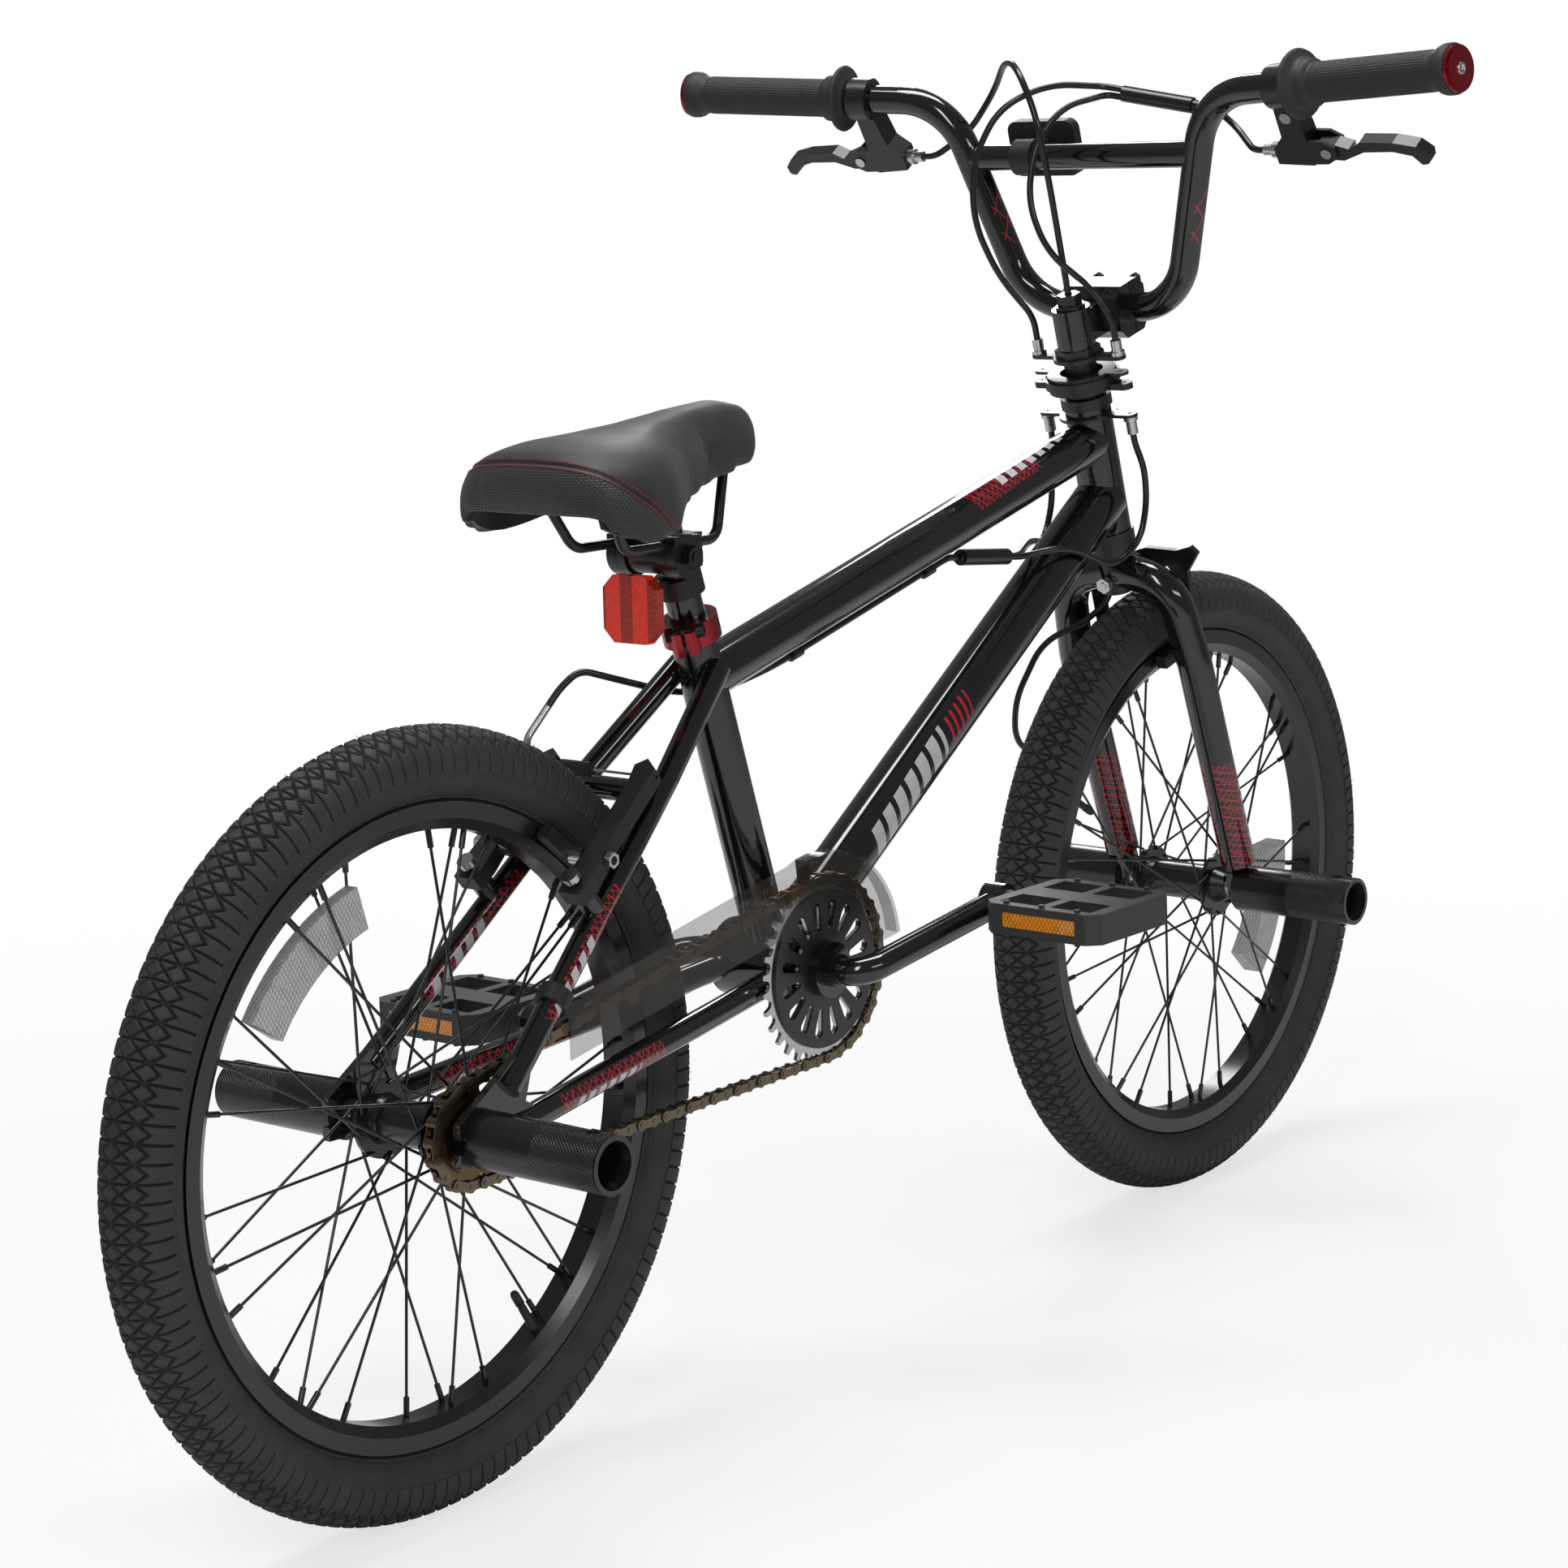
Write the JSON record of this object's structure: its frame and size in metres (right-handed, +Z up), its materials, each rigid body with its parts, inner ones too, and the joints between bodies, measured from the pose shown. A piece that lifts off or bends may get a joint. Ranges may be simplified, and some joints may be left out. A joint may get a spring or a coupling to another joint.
{
  "type": "bmx_bike",
  "caption": "Freestyle bmx bike: steel frame and fork, spoked wheels on nutted axles with pegs, one-piece crank, chain drive, rim brakes with a rotating cable detangler",
  "frame": {"origin": "on the ground, midway between the two axles", "axes": "+X forwards, +Y to the rider's left, +Z up"},
  "size_m": [1.426, 0.7078, 0.9274],
  "materials": {
    "frame_black": "gloss black paint",
    "chrome_parts": "bright plated",
    "aluminium_parts": "satin",
    "black_metal": "satin black",
    "steel_bronze": "dull bronze",
    "bright_steel": "brushed",
    "tyre_rubber": "matte",
    "grip_rubber": "matte",
    "red_anodised": "red anodised",
    "red_plastic": "gloss",
    "black_plastic": "matte",
    "smoked_plastic": "clear smoked",
    "saddle_skin": "matte synthetic",
    "clear_lens": "prismatic",
    "red_lens": "prismatic"
  },
  "bodies": {
    "frame": {"head_tube": "frame_black", "top_tube": "frame_black", "down_tube": "frame_black", "seat_tube": "frame_black", "bottom_bracket_shell": "frame_black", "chain_stays": "frame_black", "seat_stays": "frame_black", "seat_post": "frame_black", "seat_clamp": "red_anodised", "saddle_base": "black_plastic", "saddle_pad": "saddle_skin", "saddle_rails": "black_metal", "rail_clamp": "bright_steel", "rear_reflector": "red_lens", "chain_guard": "smoked_plastic", "bearing_cups": "black_metal", "rear_axle": "bright_steel", "rear_pegs": "frame_black", "gyro_lower_plate": "black_metal", "rear_brake_cable": "black_plastic", "chain": "steel_bronze", "brake_bolts": "bright_steel"},
    "fork": {"fork_steerer": "black_metal", "fork_legs": "frame_black", "stem": "black_metal", "stem_faceplate": "black_metal", "handlebar": "frame_black", "grips": "grip_rubber", "bar_plugs": "red_plastic", "lever_brackets": "black_metal", "gyro_upper_plate": "black_metal", "upper_cables": "black_plastic", "front_reflector": "clear_lens", "front_axle": "bright_steel", "front_pegs": "frame_black", "front_brake_cable": "black_plastic"},
    "rear_wheel": {"rear_hub": "black_metal", "rear_spokes": "black_metal", "rear_rim": "black_metal", "rear_tyre": "tyre_rubber"},
    "front_wheel": {"front_hub": "black_metal", "front_spokes": "black_metal", "front_rim": "black_metal", "front_tyre": "tyre_rubber"},
    "freewheel": {"freewheel": "steel_bronze"},
    "crank": {"crank": "frame_black", "chainring": "bright_steel", "chainring_face": "black_metal"},
    "left_pedal": {"left_pedal": "black_plastic"},
    "right_pedal": {"right_pedal": "black_plastic"},
    "left_lever": {"left_brake_lever": "black_metal"},
    "right_lever": {"right_brake_lever": "black_metal"},
    "rear_left_arm": {"rear_left_brake_arm": "black_metal"},
    "rear_right_arm": {"rear_right_brake_arm": "black_metal", "brake_wire": "bright_steel"},
    "front_left_arm": {"front_left_brake_arm": "black_metal"},
    "front_right_arm": {"front_right_brake_arm": "black_metal"},
    "upper_ring": {"gyro_upper_ring": "black_metal"},
    "lower_ring": {"gyro_lower_ring": "black_metal"}
  },
  "joints": [
    {"name": "steering", "type": "hinge", "parent": "frame", "child": "fork", "pos_m": [0.33342, 0, 0.60468], "axis": [-0.2756, 0, 0.9613], "continuous": true},
    {"name": "front_wheel_spin", "type": "hinge", "parent": "fork", "child": "front_wheel", "pos_m": [0.456, 0, 0.257], "axis": [0, 1, 0], "continuous": true},
    {"name": "rear_wheel_spin", "type": "hinge", "parent": "frame", "child": "rear_wheel", "pos_m": [-0.456, 0, 0.257], "axis": [0, 1, 0], "continuous": true},
    {"name": "crank_spin", "type": "hinge", "parent": "frame", "child": "crank", "pos_m": [-0.091, 0, 0.294], "axis": [0, 1, 0], "continuous": true, "deforming": ["chain"]},
    {"name": "freewheel_spin", "type": "hinge", "parent": "frame", "child": "freewheel", "pos_m": [-0.456, 0, 0.257], "axis": [0, 1, 0], "continuous": true, "deforming": ["chain"]},
    {"name": "left_pedal_spin", "type": "hinge", "parent": "crank", "child": "left_pedal", "pos_m": [-0.22768, 0.1695, 0.2637], "axis": [0, 1, 0], "continuous": true},
    {"name": "right_pedal_spin", "type": "hinge", "parent": "crank", "child": "right_pedal", "pos_m": [0.04568, -0.1695, 0.3243], "axis": [0, 1, 0], "continuous": true},
    {"name": "right_lever_pull", "type": "hinge", "parent": "fork", "child": "right_lever", "pos_m": [0.32101, -0.215, 0.85606], "axis": [-0.8102, 0, -0.5862], "range_deg": [0, 22], "stiffness_Nm_per_rad": 0.6, "springref_deg": -8.59},
    {"name": "left_lever_pull", "type": "hinge", "parent": "fork", "child": "left_lever", "pos_m": [0.32101, 0.215, 0.85606], "axis": [0.8102, 0, 0.5862], "range_deg": [0, 22], "stiffness_Nm_per_rad": 0.6, "springref_deg": -8.59},
    {"name": "rear_left_arm_close", "type": "hinge", "parent": "frame", "child": "rear_left_arm", "pos_m": [-0.34551, 0.04613, 0.39673], "axis": [0.6505, 0, -0.7595], "range_deg": [0, 3.69], "stiffness_Nm_per_rad": 0.6, "springref_deg": -5.73, "deforming": ["rear_brake_cable", "brake_wire"]},
    {"name": "rear_right_arm_close", "type": "hinge", "parent": "frame", "child": "rear_right_arm", "pos_m": [-0.34551, -0.04613, 0.39673], "axis": [-0.6505, 0, 0.7595], "range_deg": [0, 3.69], "stiffness_Nm_per_rad": 0.6, "springref_deg": -5.73, "deforming": ["brake_wire"]},
    {"name": "front_left_arm_close", "type": "hinge", "parent": "fork", "child": "front_left_arm", "pos_m": [0.38479, 0, 0.52891], "axis": [-0.9613, 0, -0.2756], "range_deg": [0, 1.22], "stiffness_Nm_per_rad": 0.6, "springref_deg": -5.73, "deforming": ["front_brake_cable"]},
    {"name": "front_right_arm_close", "type": "hinge", "parent": "fork", "child": "front_right_arm", "pos_m": [0.38998, 0, 0.53039], "axis": [0.9613, 0, 0.2756], "range_deg": [0, 1.22], "stiffness_Nm_per_rad": 0.6, "springref_deg": -5.73},
    {"name": "upper_ring_lift", "type": "slide", "parent": "fork", "child": "upper_ring", "axis": [-0.2756, 0, 0.9613], "range_m": [0, 0.00505], "stiffness_N_per_m": 200, "springref_m": -0.001},
    {"name": "lower_ring_lift", "type": "slide", "parent": "frame", "child": "lower_ring", "axis": [-0.2756, 0, 0.9613], "range_m": [0, 0.00505], "stiffness_N_per_m": 200, "springref_m": -0.001}
  ],
  "couplings": [
    {"joint": "freewheel_spin", "follows": "crank_spin", "ratio": 2},
    {"joint": "rear_left_arm_close", "follows": "right_lever_pull", "ratio": 0.16538},
    {"joint": "rear_right_arm_close", "follows": "right_lever_pull", "ratio": 0.16538},
    {"joint": "upper_ring_lift", "follows": "right_lever_pull", "m_per_rad": 0.013022},
    {"joint": "lower_ring_lift", "follows": "right_lever_pull", "m_per_rad": 0.013022},
    {"joint": "front_left_arm_close", "follows": "left_lever_pull", "ratio": 0.05469},
    {"joint": "front_right_arm_close", "follows": "left_lever_pull", "ratio": 0.05469}
  ]
}
